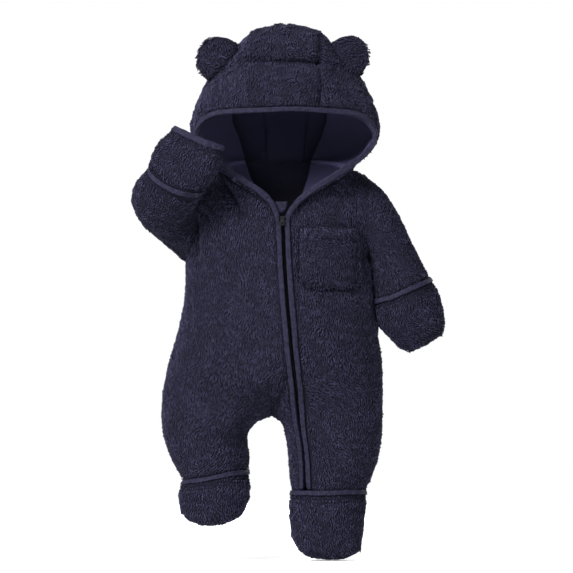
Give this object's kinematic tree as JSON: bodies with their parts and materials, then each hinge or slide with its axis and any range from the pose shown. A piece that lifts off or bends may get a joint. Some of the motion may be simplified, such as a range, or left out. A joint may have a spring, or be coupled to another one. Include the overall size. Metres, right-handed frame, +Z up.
{
  "type": "hooded fleece onesie",
  "caption": "Baby's plush fleece onesie with a three-panel hood, two round ears, a long slanting front zip, patch pocket, fold-over mittens and closed feet, filled out as worn.",
  "frame": {"origin": "middle of the neck's base, where the shoulders of the wearer carry the garment", "axes": "+Z up, the front faces -Y, +X is the viewer's right and the wearer's left"},
  "size_m": [0.3774, 0.2111, 0.6473],
  "materials": {
    "fleece": "long soft pile, matt",
    "jersey": "smooth knit with a soft sheen",
    "tape": "woven, matt",
    "metal": "dark satin"
  },
  "bodies": {
    "garment": {"back": "fleece", "front_left": "fleece", "front_right": "fleece", "sleeve_left": "fleece", "sleeve_right": "fleece", "mitten_left": "fleece", "mitten_right": "fleece", "foot_left": "fleece", "foot_right": "fleece", "hood_side_left": "fleece", "hood_side_right": "fleece", "hood_centre": "fleece", "ear_left": "fleece", "ear_right": "fleece", "pocket": "fleece", "binding_hood": "jersey", "binding_front_left": "jersey", "binding_front_right": "jersey", "binding_mitten_left": "jersey", "binding_mitten_right": "jersey", "binding_mitten_right_end": "jersey", "binding_foot_left": "jersey", "binding_foot_right": "jersey", "chin_guard": "jersey", "zip_tape_left": "tape", "zip_tape_right": "tape", "zip_slider": "metal"},
    "pull": {"zip_pull": "metal"}
  },
  "joints": [
    {"name": "zip_pull_hinge", "type": "hinge", "parent": "garment", "child": "pull", "pos_m": [-0.003, -0.0649, -0.0392], "axis": [-1, 0, 0], "range_deg": [0, 150]}
  ]
}
